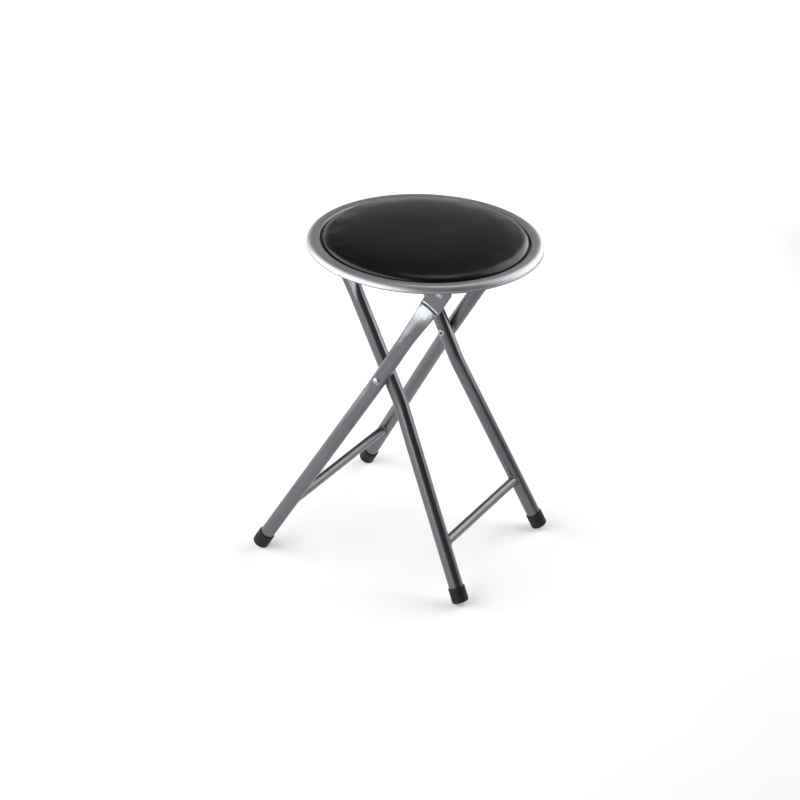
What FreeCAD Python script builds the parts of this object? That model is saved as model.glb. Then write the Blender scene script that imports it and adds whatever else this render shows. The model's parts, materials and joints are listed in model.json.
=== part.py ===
import FreeCAD, Part
import math
import os

# Folding stool. Two frames of steel tube cross at a pair of rivets. A round padded seat is hinged on
# the tops of the outer frame, and catches on a rod between the tops of the inner frame.
# Millimetres, Z up. X runs across the crossed legs and Y along the pivots, with front at -Y.
# The origin is on the floor, under the middle of the whole stool's box.

V = FreeCAD.Vector

# Whole stool
SEAT_HEIGHT = 450.0            # floor to the top of the pad
PIVOT_HEIGHT = 279.0           # floor to the rivets where the legs cross
SEAT_OFFSET = 5.2              # seat centre, beyond the crossing towards the hinge

# Seat
SEAT_DIAMETER = 300.0
RIM_WIDTH = 17.0
RIM_HEIGHT = 8.6
PAN_SHEET = 1.0
SKIRT_HEIGHT = 0.8             # straight lower end of the rim's outer face
HEM_HEIGHT = 2.6               # the sheet's edge folded up inside the skirt
LIP_DROP = 0.8                 # rim's inner edge below its crest
LIP_RADIUS = 1.5
PAD_RISE = 9.7                 # pad's top above the rim's crest
PAD_EDGE_RISE = 2.6            # pad's shoulder above the rim's crest
PAD_GAP = 1.5                  # between the pad and the rim
PAD_EDGE_RADIUS = 4.4
PAD_TUCK_DRAW = 3.0            # how far the pad's side is drawn in under its shoulder
COVER_THICKNESS = 1.0
COVER_TUCK_WIDTH = 17.0        # cover turned in under the board
BOARD_THICKNESS = 4.0
BOARD_MARGIN = 4.2             # board's edge inside the pad's
SOFT_GAP = 0.2

# Leg tubes
TUBE_DIAMETER = 19.0
TUBE_WALL = 1.2
HINGE_REACH = 75.0             # along X, from the crossing to the seat hinge
CATCH_REACH = 68.6             # along X, from the crossing to the catch rod
OUTER_SPLAY = 8.0              # degrees that the lower legs turn outwards
INNER_SPLAY = 8.2              # degrees that the lower legs turn outwards
OUTER_BEND_HEIGHT = 268.0
INNER_BEND_HEIGHT = 242.0
BEND_RADIUS = 100.0
INNER_HALF_WIDTH = 73.2        # middle of the stool to the centre line of an inner leg's top
OUTER_TAPER_LENGTH = 62.0      # where an outer leg's round tube flattens
INNER_TAPER_LENGTH = 40.0      # the same on an inner leg
RAMP_LENGTH = 3.2              # the steep end of the taper, up to the crimp line
RAMP_SHARE = 0.3               # of the flattening, done in the steep end
CRIMP_SLIT = 0.2               # what is left of the bore where the walls meet
CRIMP_POWER = 1.5              # how late in the taper the tube flattens
TAB_BELOW_HINGE = 25.0         # outer legs' crimp line to the hinge rivet
TAB_BELOW_ROD = 7.0            # inner legs' crimp line to the catch rod
TAB_ABOVE = 14.0               # hinge rivet or rod to the tab's end
TAB_WIDTH = 28.0
TAB_CORNER_RADIUS = 6.0
TAB_EDGE_RADIUS = 1.15
HINGE_DROP = 18.7              # hinge rivet below the pan

# Crossbars and feet
BAR_DIAMETER = 12.7
BAR_WALL = 1.0
OUTER_BAR_HEIGHT = 70.6
INNER_BAR_HEIGHT = 72.5
CAP_WALL = 1.5
CAP_LENGTH = 21.0
CAP_BASE = 4.0
CAP_EDGE_RADIUS = 3.0
CAP_LAND_DEPTH = 0.5           # worn flat where a cap's edge meets the floor
CAP_LIP_CHAMFER = 0.5

# Leg pivots
RIVET_DIAMETER = 6.0
RIVET_HEAD_DIAMETER = 10.0
RIVET_HEAD_HEIGHT = 2.4
RIVET_ROLL_DIAMETER = 9.0
RIVET_ROLL_HEIGHT = 1.6
RIVET_ROLL_BORE = 3.4
RIVET_ROLL_DEPTH = 6.0
SPACER_DIAMETER = 14.0
SPACER_THICKNESS = 1.6
RUNNING_GAP = 0.2              # between faces that turn against each other
SHAFT_GAP = 0.05               # between a shaft and the hole it turns in

# Seat hinges
BRACKET_SHEET = 2.0
BRACKET_LENGTH = 40.0
BRACKET_FLANGE = 24.0
BRACKET_SHOULDER = 4.0
BRACKET_EYE_RADIUS = 11.0
BRACKET_BEND_RADIUS = 2.4
HINGE_WASHER_DIAMETER = 15.0
HINGE_WASHER_THICKNESS = 1.0
HINGE_HEAD_DIAMETER = 11.0
HINGE_HEAD_HEIGHT = 2.2
BRACKET_RIVET_DIAMETER = 4.0
BRACKET_RIVET_HEAD_DIAMETER = 7.5
BRACKET_RIVET_HEAD_HEIGHT = 1.8
BRACKET_RIVET_SPACING = 24.0

# Seat catch
ROD_DIAMETER = 8.0
ROD_TENON_DIAMETER = 6.0
ROD_HEAD_DIAMETER = 10.0
ROD_HEAD_HEIGHT = 2.0
CATCH_GAP = 0.3                # rod to the saddle that it carries
CATCH_CHEEK = 4.2
CATCH_HOOK_DEPTH = 6.5         # far cheek below the rod's axis
CATCH_NEAR_RISE = 1.7          # near cheek stops above the rod's axis, so that the seat lifts off
CATCH_LEAD = 1.6
CATCH_WIDTH = 18.0
CATCH_BASE_THICKNESS = 3.0
CATCH_EAR = 13.5
CATCH_SPACING = 80.0

# Screws
SCREW_DIAMETER = 4.0
SCREW_HEAD_DIAMETER = 8.0
SCREW_HEAD_HEIGHT = 2.2
SCREW_BITE = 3.0               # into the board
BOARD_SCREW_CIRCLE = 190.0
BOARD_SCREWS = 4

# How near an edge has to lie to the place where it is looked for
PICK_GAP = 0.001

# Sizes that follow
SEAT_RADIUS = SEAT_DIAMETER / 2
RIM_INNER_RADIUS = SEAT_RADIUS - RIM_WIDTH
PAN_BOTTOM = SEAT_HEIGHT - PAD_RISE - RIM_HEIGHT
HINGE_HEIGHT = PAN_BOTTOM - HINGE_DROP
TUBE_RADIUS = TUBE_DIAMETER / 2
TAB_THICKNESS = 2 * TUBE_WALL + CRIMP_SLIT
OUTER_HALF_WIDTH = INNER_HALF_WIDTH + TUBE_DIAMETER + SPACER_THICKNESS + 2 * RUNNING_GAP
CAP_RADIUS = TUBE_RADIUS + CAP_WALL
BOARD_BOTTOM = PAN_BOTTOM + PAN_SHEET + COVER_THICKNESS
UNIT_X = V(1, 0, 0)
UNIT_Y = V(0, 1, 0)
UNIT_Z = V(0, 0, 1)
ORIGIN = V(0, 0, 0)


# Small drawing helpers
def face_of(start, *steps):
    """A flat face. Each step is the next corner, or (point on the arc, next corner)."""
    edges = []
    here = start
    for step in steps:
        if isinstance(step, tuple):
            through, there = step
            edges.append(Part.Arc(here, through, there).toShape())
        else:
            there = step
            edges.append(Part.LineSegment(here, there).toShape())
        here = there
    if here.distanceToPoint(start) > 1e-6:
        edges.append(Part.LineSegment(here, start).toShape())
    return Part.Face(Part.Wire(edges))


def disc_y(radius, low, high, x=0.0, z=0.0):
    """A cylinder along Y between two places."""
    return Part.makeCylinder(radius, high - low, V(x, low, z), UNIT_Y)


def disc_z(radius, low, high, x=0.0, y=0.0):
    """A cylinder along Z between two heights."""
    return Part.makeCylinder(radius, high - low, V(x, y, low), UNIT_Z)


def dome(radius, height, base, out):
    """A low domed rivet head on a face: base is the middle of its flat side, out points away."""
    ball_radius = (radius * radius + height * height) / (2 * height)
    ball = Part.makeSphere(ball_radius, base + out * (height - ball_radius))
    return ball.common(Part.makeCylinder(radius, height, base, out))


def mirrored(shape):
    """The same piece on the front side."""
    return shape.mirror(ORIGIN, UNIT_Y)


def save(node, *shapes):
    """One file for a node, with one solid in it or several."""
    shape = shapes[0] if len(shapes) == 1 else Part.makeCompound(list(shapes))
    shape.exportStep("parts/" + node + ".step")


# A frame is described by how its legs lean and splay. Local Z runs up the leg from the pivot,
# and local Y outwards. All is drawn for the rear leg and mirrored for the front one.
class LegFrame:
    def __init__(self, top_reach, splay, bend_height, half_width, taper_length, tab_below, tab_middle):
        self.tan_lean = top_reach / (HINGE_HEIGHT - PIVOT_HEIGHT)
        self.lean = math.degrees(math.atan(self.tan_lean))
        self.cos_lean = math.cos(math.atan(self.tan_lean))
        self.splay = math.radians(splay)
        self.half_width = half_width
        self.bend = (bend_height - PIVOT_HEIGHT) / self.cos_lean
        self.hinge = (HINGE_HEIGHT - PIVOT_HEIGHT) / self.cos_lean
        self.crimp = self.hinge - tab_below
        self.taper_length = taper_length
        self.tab_middle = tab_middle
        self.tilt = math.acos(self.cos_lean * math.cos(self.splay))
        # A cap's rounded edge is the lowest thing on the leg, so the cap's end centre is this high
        edge_circle = CAP_RADIUS - CAP_EDGE_RADIUS
        end_height = (edge_circle * math.sin(self.tilt) + CAP_EDGE_RADIUS * (1 - math.cos(self.tilt))
                      - CAP_LAND_DEPTH)
        self.lower_length = (bend_height - end_height) / math.cos(self.tilt)

    def x_at(self, height):
        return (height - PIVOT_HEIGHT) * self.tan_lean

    def y_at(self, height):
        below_bend = self.bend - (height - PIVOT_HEIGHT) / self.cos_lean
        return self.half_width + max(0.0, below_bend) * math.tan(self.splay)

    def cap_end(self):
        """Middle of a cap's end, in the leg's own frame."""
        return V(0, self.lower_length * math.sin(self.splay),
                 self.bend - self.lower_length * math.cos(self.splay))

    def reach(self):
        """How far the feet reach from the pivot along X."""
        axis_x = math.sin(math.radians(self.lean)) * math.cos(self.splay)
        edge_circle = CAP_RADIUS - CAP_EDGE_RADIUS
        edge_place = self.lower_length - CAP_EDGE_RADIUS
        middle = (edge_place * math.cos(self.splay) - self.bend) * math.sin(math.radians(self.lean))
        return middle + edge_circle * math.sqrt(1 - axis_x * axis_x) + CAP_EDGE_RADIUS

    def place(self, shape, pivot_x, lean_sign):
        """From the leg's own frame to the stool's, for the rear leg."""
        turned = shape.copy()
        turned.rotate(ORIGIN, UNIT_Y, lean_sign * self.lean)
        turned.translate(V(pivot_x, self.half_width, PIVOT_HEIGHT))
        return turned


# An outer leg's tab lies flush with the tube's inner side, and an inner leg's on its centre line
outer = LegFrame(HINGE_REACH, OUTER_SPLAY, OUTER_BEND_HEIGHT, OUTER_HALF_WIDTH,
                 OUTER_TAPER_LENGTH, TAB_BELOW_HINGE, TAB_THICKNESS / 2 - TUBE_RADIUS)
inner = LegFrame(CATCH_REACH, INNER_SPLAY, INNER_BEND_HEIGHT, INNER_HALF_WIDTH,
                 INNER_TAPER_LENGTH, TAB_BELOW_ROD, 0.0)

# The outer feet reach furthest to -X, and the seat or the inner feet to +X
PIVOT_X = (outer.reach() - max(SEAT_OFFSET + SEAT_RADIUS, inner.reach())) / 2
SEAT_X = PIVOT_X + SEAT_OFFSET
HINGE_X = PIVOT_X + outer.x_at(HINGE_HEIGHT)
ROD_X = PIVOT_X - inner.x_at(HINGE_HEIGHT)
OUTER_LEAN_SIGN = 1
INNER_LEAN_SIGN = -1

# Places along Y, all from the tubes
OUTER_TAB_INSIDE = OUTER_HALF_WIDTH + outer.tab_middle - TAB_THICKNESS / 2
OUTER_TAB_OUTSIDE = OUTER_TAB_INSIDE + TAB_THICKNESS
INNER_TAB_INSIDE = INNER_HALF_WIDTH + inner.tab_middle - TAB_THICKNESS / 2
INNER_TAB_OUTSIDE = INNER_TAB_INSIDE + TAB_THICKNESS
INNER_TUBE_INSIDE = INNER_HALF_WIDTH - TUBE_RADIUS
WEB_OUTSIDE = OUTER_TAB_INSIDE - HINGE_WASHER_THICKNESS - RUNNING_GAP
WEB_INSIDE = WEB_OUTSIDE - BRACKET_SHEET


# Legs: bent tube, flattened at the top to a tab
def leg_core(leg, radius, end_gap, top):
    """A round bar bent like the leg, from its foot to the start of the flattening."""
    half_turn = leg.splay / 2
    tangent = BEND_RADIUS * math.tan(half_turn)
    down = V(0, math.sin(leg.splay), -math.cos(leg.splay))
    corner = V(0, 0, leg.bend)
    foot = corner + down * (leg.lower_length - end_gap)
    arc_low = corner + down * tangent
    arc_high = corner + UNIT_Z * tangent
    bend_centre = arc_high + UNIT_Y * BEND_RADIUS
    arc_middle = bend_centre - V(0, math.cos(half_turn), math.sin(half_turn)) * BEND_RADIUS
    path = Part.Wire([
        Part.LineSegment(foot, arc_low).toShape(),
        Part.Arc(arc_low, arc_middle, arc_high).toShape(),
        Part.LineSegment(arc_high, V(0, 0, top)).toShape(),
    ])
    ring = Part.Wire([Part.Circle(foot, down * -1, radius).toShape()])
    return path.makePipeShell([ring], True, False)


def tube_section(blend, height, radius, flat_width, flat_thickness, flat_middle):
    """A cross-section of the flattening tube: blend 0 is round and 1 is flat."""
    def between(a, b):
        return a + (b - a) * blend
    corner_x = between(radius * math.sqrt(0.5), (flat_width - flat_thickness) / 2)
    corner_y = between(radius * math.sqrt(0.5), flat_thickness / 2)
    side_x = between(radius, flat_width / 2)
    side_y = between(radius, flat_thickness / 2)
    shift = between(0.0, flat_middle)

    def point(x, y):
        return V(x, y + shift, height)

    def run(a, b, c):
        flat = abs((b - a).cross(c - a).z) < 1e-6
        curve = Part.LineSegment(a, c) if flat else Part.Arc(a, b, c)
        return curve.toShape()
    a, b = point(corner_x, -corner_y), point(corner_x, corner_y)
    c, d = point(-corner_x, corner_y), point(-corner_x, -corner_y)
    return Part.Wire([
        run(a, point(side_x, 0), b),
        run(b, point(0, side_y), c),
        run(c, point(-side_x, 0), d),
        run(d, point(0, -side_y), a),
    ])


def taper(leg, radius, flat_width, flat_thickness):
    """The stretch where the tube goes from round to flat, slowly and then steeply."""
    steps = 3
    slow_length = leg.taper_length - RAMP_LENGTH
    sections = []
    for step in range(steps + 1):
        share = step / steps
        blend = (1 - RAMP_SHARE) * share ** CRIMP_POWER
        height = leg.crimp - leg.taper_length + slow_length * share
        sections.append(tube_section(blend, height, radius, flat_width, flat_thickness, leg.tab_middle))
    end = tube_section(1.0, leg.crimp, radius, flat_width, flat_thickness, leg.tab_middle)
    slow = Part.makeLoft(sections, True, False)
    return slow.fuse(Part.makeLoft([sections[-1], end], True, True))


def leg_tab(leg):
    """The flat end of the tube, with rounded corners and folded edges."""
    half = TAB_WIDTH / 2
    inside = leg.tab_middle - TAB_THICKNESS / 2
    end = leg.hinge + TAB_ABOVE
    straight = half - TAB_CORNER_RADIUS
    shoulder = end - TAB_CORNER_RADIUS
    bulge = TAB_CORNER_RADIUS * math.sqrt(0.5)
    outline = face_of(
        V(-half, inside, leg.crimp), V(half, inside, leg.crimp), V(half, inside, shoulder),
        (V(straight + bulge, inside, shoulder + bulge), V(straight, inside, end)),
        V(-straight, inside, end),
        (V(-straight - bulge, inside, shoulder + bulge), V(-half, inside, shoulder)))
    tab = outline.extrude(UNIT_Y * TAB_THICKNESS)
    rims = [edge for edge in tab.Edges
            if edge.BoundBox.YLength < PICK_GAP and edge.BoundBox.ZMax > leg.crimp + PICK_GAP]
    return tab.makeFillet(TAB_EDGE_RADIUS, rims)


def leg_skin(leg):
    """The outside of a leg below its flattening, solid: what is seated on the tube is cut by it."""
    return leg_core(leg, TUBE_RADIUS, CAP_BASE, leg.crimp - leg.taper_length)


def leg_tube(leg, pivot_hole, tab_hole):
    """One leg, bored and drilled."""
    body = leg_skin(leg).fuse([taper(leg, TUBE_RADIUS, TAB_WIDTH, TAB_THICKNESS), leg_tab(leg)])
    bore_radius = TUBE_RADIUS - TUBE_WALL
    bore = leg_core(leg, bore_radius, CAP_BASE, leg.crimp - leg.taper_length)
    slit = taper(leg, bore_radius, TAB_WIDTH - 2 * TUBE_WALL, CRIMP_SLIT)
    pivot = disc_y(pivot_hole, -TUBE_DIAMETER, TUBE_DIAMETER)
    hinge = disc_y(tab_hole, -TUBE_DIAMETER, TUBE_DIAMETER, 0, leg.hinge)
    return body.cut([bore, slit, pivot, hinge]).removeSplitter()


def foot_cap(leg):
    """A moulded cup pushed over the tube's end, in the leg's own frame."""
    bore = TUBE_RADIUS
    corner = CAP_EDGE_RADIUS * math.sqrt(0.5)
    profile = face_of(
        V(0, 0, 0), V(CAP_RADIUS - CAP_EDGE_RADIUS, 0, 0),
        (V(CAP_RADIUS - CAP_EDGE_RADIUS + corner, 0, CAP_EDGE_RADIUS - corner),
         V(CAP_RADIUS, 0, CAP_EDGE_RADIUS)),
        V(CAP_RADIUS, 0, CAP_LENGTH - CAP_LIP_CHAMFER), V(CAP_RADIUS - CAP_LIP_CHAMFER, 0, CAP_LENGTH),
        V(bore, 0, CAP_LENGTH), V(bore, 0, CAP_BASE), V(0, 0, CAP_BASE))
    cap = profile.revolve(ORIGIN, UNIT_Z, 360)
    cap.rotate(ORIGIN, UNIT_X, math.degrees(leg.splay))
    cap.translate(leg.cap_end())
    return cap


def crossbar(leg, height, lean_sign, skin):
    """A tube between a frame's two legs, its ends coped to them."""
    x = PIVOT_X + lean_sign * leg.x_at(height)
    reach = leg.y_at(height)
    bar = disc_y(BAR_DIAMETER / 2, -reach, reach, x, height)
    bar = bar.cut(disc_y(BAR_DIAMETER / 2 - BAR_WALL, -reach, reach, x, height))
    coped = bar.cut([skin, mirrored(skin)])
    return max(coped.Solids, key=lambda solid: solid.Volume)


FLOOR_CUT = Part.makeBox(4 * SEAT_DIAMETER, 4 * SEAT_DIAMETER, SEAT_DIAMETER,
                         V(-2 * SEAT_DIAMETER, -2 * SEAT_DIAMETER, -SEAT_DIAMETER))


def frame_pieces(name, leg, lean_sign, bar_height, pivot_hole, tab_hole):
    """The legs, crossbar and feet of one frame. Gives back the rear leg's outside."""
    rear = leg.place(leg_tube(leg, pivot_hole, tab_hole), PIVOT_X, lean_sign)
    skin = leg.place(leg_skin(leg), PIVOT_X, lean_sign)
    cap = leg.place(foot_cap(leg), PIVOT_X, lean_sign).cut(FLOOR_CUT)
    save(name + "_leg_rear", rear)
    save(name + "_leg_front", mirrored(rear))
    save(name + "_foot_cap_rear", cap)
    save(name + "_foot_cap_front", mirrored(cap))
    save(name + "_crossbar", crossbar(leg, bar_height, lean_sign, skin))
    return skin


# Leg pivots: a domed rivet through both tubes, rolled over on the inner leg's inner side
def leg_pivot_rivet(outer_skin):
    shaft_radius = RIVET_DIAMETER / 2
    head_radius = RIVET_HEAD_DIAMETER / 2
    crest = OUTER_HALF_WIDTH + TUBE_RADIUS
    sunk = TUBE_RADIUS - math.sqrt(TUBE_RADIUS ** 2 - head_radius ** 2)
    centre = V(PIVOT_X, 0, PIVOT_HEIGHT)
    head = dome(head_radius, RIVET_HEAD_HEIGHT, centre + UNIT_Y * crest, UNIT_Y)
    collar = disc_y(head_radius, crest - sunk, crest, PIVOT_X, PIVOT_HEIGHT).cut(outer_skin)
    inner_face = INNER_TUBE_INSIDE - RUNNING_GAP
    end = inner_face - RIVET_ROLL_HEIGHT
    roll = disc_y(RIVET_ROLL_DIAMETER / 2, end, inner_face, PIVOT_X, PIVOT_HEIGHT)
    roll = roll.makeFillet(RIVET_ROLL_HEIGHT * 0.45,
                           [e for e in roll.Edges if abs(e.BoundBox.YMax - end) < PICK_GAP])
    shaft = disc_y(shaft_radius, end, crest, PIVOT_X, PIVOT_HEIGHT)
    hollow = disc_y(RIVET_ROLL_BORE / 2, end, end + RIVET_ROLL_DEPTH, PIVOT_X, PIVOT_HEIGHT)
    return shaft.fuse([head, collar, roll]).cut(hollow).removeSplitter()


def leg_pivot_spacer():
    low = INNER_HALF_WIDTH + TUBE_RADIUS + RUNNING_GAP
    ring = disc_y(SPACER_DIAMETER / 2, low, low + SPACER_THICKNESS, PIVOT_X, PIVOT_HEIGHT)
    return ring.cut(disc_y(RIVET_DIAMETER / 2, low, low + SPACER_THICKNESS, PIVOT_X, PIVOT_HEIGHT))


# Seat hinges: a bracket under the pan, turning on a rivet through the outer leg's tab
def tangent_point(point, centre, radius, side):
    """Where a line from a point touches a circle, in the XZ plane; side is the sign of X."""
    reach = point - centre
    distance = reach.Length
    swing = math.acos(radius / distance)
    heading = math.atan2(reach.z, reach.x) - side * swing
    return centre + V(math.cos(heading), 0, math.sin(heading)) * radius


def hinge_bracket():
    half = BRACKET_LENGTH / 2
    top = PAN_BOTTOM
    shoulder = top - BRACKET_SHOULDER
    eye = V(HINGE_X, WEB_INSIDE, HINGE_HEIGHT)
    right = V(HINGE_X + half, WEB_INSIDE, shoulder)
    left = V(HINGE_X - half, WEB_INSIDE, shoulder)
    web = face_of(
        V(HINGE_X - half, WEB_INSIDE, top), V(HINGE_X + half, WEB_INSIDE, top), right,
        tangent_point(right, eye, BRACKET_EYE_RADIUS, 1),
        (eye - UNIT_Z * BRACKET_EYE_RADIUS, tangent_point(left, eye, BRACKET_EYE_RADIUS, -1)),
        left).extrude(UNIT_Y * BRACKET_SHEET)
    flange = Part.makeBox(BRACKET_LENGTH, BRACKET_FLANGE, BRACKET_SHEET,
                          V(HINGE_X - half, WEB_OUTSIDE - BRACKET_FLANGE, top - BRACKET_SHEET))
    body = web.fuse(flange).removeSplitter()

    def long_edges(y, z):
        return [e for e in body.Edges if e.BoundBox.XLength > BRACKET_LENGTH - PICK_GAP
                and abs(e.CenterOfMass.y - y) < PICK_GAP and abs(e.CenterOfMass.z - z) < PICK_GAP]
    body = body.makeFillet(BRACKET_BEND_RADIUS, long_edges(WEB_OUTSIDE, top))
    body = body.makeFillet(BRACKET_BEND_RADIUS - BRACKET_SHEET, long_edges(WEB_INSIDE, top - BRACKET_SHEET))
    eye_hole = disc_y(RIVET_DIAMETER / 2 + SHAFT_GAP, WEB_INSIDE, WEB_OUTSIDE, HINGE_X, HINGE_HEIGHT)
    holes = [disc_z(BRACKET_RIVET_DIAMETER / 2, top - BRACKET_SHEET, top, x, y)
             for x, y in bracket_rivet_places()]
    return body.cut([eye_hole] + holes)


def bracket_rivet_places():
    """The two rivets of the rear bracket."""
    y = WEB_INSIDE - (BRACKET_FLANGE - BRACKET_SHEET) / 2
    return [(HINGE_X + side * BRACKET_RIVET_SPACING / 2, y) for side in (-1, 1)]


def bracket_rivet(x, y):
    low = PAN_BOTTOM - BRACKET_SHEET
    shank = disc_z(BRACKET_RIVET_DIAMETER / 2, low, BOARD_BOTTOM, x, y)
    head = dome(BRACKET_RIVET_HEAD_DIAMETER / 2, BRACKET_RIVET_HEAD_HEIGHT, V(x, y, low), V(0, 0, -1))
    upset = disc_z(BRACKET_RIVET_HEAD_DIAMETER / 2, PAN_BOTTOM + PAN_SHEET, BOARD_BOTTOM, x, y)
    return shank.fuse([head, upset]).removeSplitter()


def hinge_rivet():
    head_radius = HINGE_HEAD_DIAMETER / 2
    inner_face = WEB_INSIDE - RUNNING_GAP
    shaft = disc_y(RIVET_DIAMETER / 2, inner_face, OUTER_TAB_OUTSIDE, HINGE_X, HINGE_HEIGHT)
    outside = dome(head_radius, HINGE_HEAD_HEIGHT, V(HINGE_X, OUTER_TAB_OUTSIDE, HINGE_HEIGHT), UNIT_Y)
    inside = dome(head_radius, HINGE_HEAD_HEIGHT, V(HINGE_X, inner_face, HINGE_HEIGHT), UNIT_Y * -1)
    return shaft.fuse([outside, inside]).removeSplitter()


def hinge_washer():
    low = OUTER_TAB_INSIDE - HINGE_WASHER_THICKNESS
    ring = disc_y(HINGE_WASHER_DIAMETER / 2, low, OUTER_TAB_INSIDE, HINGE_X, HINGE_HEIGHT)
    return ring.cut(disc_y(RIVET_DIAMETER / 2, low, OUTER_TAB_INSIDE, HINGE_X, HINGE_HEIGHT))


# Seat catch: a rod across the inner frame's tabs, and two moulded saddles that drop over it
def catch_rod():
    rod = disc_y(ROD_DIAMETER / 2, -INNER_TAB_INSIDE, INNER_TAB_INSIDE, ROD_X, HINGE_HEIGHT)
    tenon = disc_y(ROD_TENON_DIAMETER / 2, -INNER_TAB_OUTSIDE, INNER_TAB_OUTSIDE, ROD_X, HINGE_HEIGHT)
    ends = [dome(ROD_HEAD_DIAMETER / 2, ROD_HEAD_HEIGHT, V(ROD_X, side * INNER_TAB_OUTSIDE, HINGE_HEIGHT),
                 UNIT_Y * side) for side in (-1, 1)]
    return rod.fuse([tenon] + ends).removeSplitter()


def catch_screw_places():
    """The two screws of the rear saddle."""
    half = ROD_DIAMETER / 2 + CATCH_GAP + CATCH_CHEEK + CATCH_EAR / 2
    return [(ROD_X + side * half, CATCH_SPACING / 2) for side in (-1, 1)]


def catch_saddle():
    slot = ROD_DIAMETER / 2 + CATCH_GAP
    cheek = slot + CATCH_CHEEK
    ear = cheek + CATCH_EAR
    top = PAN_BOTTOM - HINGE_HEIGHT
    ears = top - CATCH_BASE_THICKNESS
    low_y = CATCH_SPACING / 2 - CATCH_WIDTH / 2

    def at(x, z):
        return V(ROD_X + x, low_y, HINGE_HEIGHT + z)
    near_x = math.sqrt(slot ** 2 - CATCH_NEAR_RISE ** 2)
    block = face_of(
        at(-ear, top), at(ear, top), at(ear, ears), at(cheek, ears), at(cheek, CATCH_NEAR_RISE),
        at(near_x, CATCH_NEAR_RISE), (at(0, slot), at(-slot, 0)), at(-slot, CATCH_LEAD - CATCH_HOOK_DEPTH),
        at(-slot - CATCH_LEAD, -CATCH_HOOK_DEPTH), at(-cheek, -CATCH_HOOK_DEPTH), at(-cheek, ears),
        at(-ear, ears)).extrude(UNIT_Y * CATCH_WIDTH)
    uprights = [e for e in block.Edges if e.BoundBox.ZLength > CATCH_BASE_THICKNESS - PICK_GAP
                and e.BoundBox.XLength < PICK_GAP and abs(abs(e.CenterOfMass.x - ROD_X) - ear) < PICK_GAP]
    block = block.makeFillet(CATCH_BASE_THICKNESS, uprights)
    holes = [disc_z(SCREW_DIAMETER / 2, HINGE_HEIGHT + ears, PAN_BOTTOM, x, y)
             for x, y in catch_screw_places()]
    return block.cut(holes)


def screw(x, y, seat):
    """A round-headed screw up into the board, its head under the face at the height given."""
    head = dome(SCREW_HEAD_DIAMETER / 2, SCREW_HEAD_HEIGHT, V(x, y, seat), UNIT_Z * -1)
    return head.fuse(disc_z(SCREW_DIAMETER / 2, seat, BOARD_BOTTOM + SCREW_BITE, x, y)).removeSplitter()


def board_screw_places():
    radius = BOARD_SCREW_CIRCLE / 2
    return [(SEAT_X + radius * math.cos(turn), radius * math.sin(turn))
            for turn in (2 * math.pi * number / BOARD_SCREWS for number in range(BOARD_SCREWS))]


def both_sides(places):
    return [(x, side * y) for x, y in places for side in (-1, 1)]


# Seat: a pressed steel pan with a rolled rim, and a padded board in it
def turned_seat(profile):
    """A seat piece turned from a profile drawn with X as its radius and Z above the pan's bottom."""
    shape = profile.revolve(ORIGIN, UNIT_Z, 360)
    shape.translate(V(SEAT_X, 0, PAN_BOTTOM))
    return shape


def at(radius, height):
    return V(radius, 0, height)


def seat_pan():
    crest = SEAT_RADIUS - RIM_WIDTH / 2
    half = RIM_WIDTH / 2
    slant = math.sqrt(0.5)
    roll = RIM_HEIGHT - SKIRT_HEIGHT
    lip = RIM_HEIGHT - LIP_DROP
    lip_radius = RIM_INNER_RADIUS + LIP_RADIUS
    lip_turn = LIP_RADIUS * (1 - slant)
    back = RIM_INNER_RADIUS + PAN_SHEET
    skirt = SEAT_RADIUS - PAN_SHEET
    hem = skirt - PAN_SHEET
    crown_share = 0.75
    profile = face_of(
        at(0, 0), at(back, 0), at(back, lip - LIP_RADIUS - PAN_SHEET / 2),
        at(lip_radius, lip - PAN_SHEET),
        (at((lip_radius + crest) / 2, RIM_HEIGHT - PAN_SHEET - LIP_DROP * (1 - crown_share)),
         at(crest, RIM_HEIGHT - PAN_SHEET)),
        (at(crest + (half - PAN_SHEET) * slant, SKIRT_HEIGHT + (roll - PAN_SHEET) * slant),
         at(skirt, SKIRT_HEIGHT + HEM_HEIGHT / 2)),
        at(skirt, HEM_HEIGHT), at(hem, HEM_HEIGHT), at(hem, 0), at(SEAT_RADIUS - PAN_SHEET / 3, 0),
        at(SEAT_RADIUS, PAN_SHEET / 3), at(SEAT_RADIUS, SKIRT_HEIGHT),
        (at(crest + half * slant, SKIRT_HEIGHT + roll * slant), at(crest, RIM_HEIGHT)),
        (at((lip_radius + crest) / 2, RIM_HEIGHT - LIP_DROP * (1 - crown_share)), at(lip_radius, lip)),
        (at(RIM_INNER_RADIUS + lip_turn, lip - lip_turn), at(RIM_INNER_RADIUS, lip - LIP_RADIUS)),
        at(RIM_INNER_RADIUS, PAN_SHEET), at(0, PAN_SHEET))
    pan = turned_seat(profile)
    screw_holes = board_screw_places() + both_sides(catch_screw_places())
    holes = [disc_z(SCREW_DIAMETER / 2, PAN_BOTTOM, PAN_BOTTOM + PAN_SHEET, x, y) for x, y in screw_holes]
    holes += [disc_z(BRACKET_RIVET_DIAMETER / 2, PAN_BOTTOM, PAN_BOTTOM + PAN_SHEET, x, y)
              for x, y in both_sides(bracket_rivet_places())]
    return pan.cut(holes)


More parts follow.
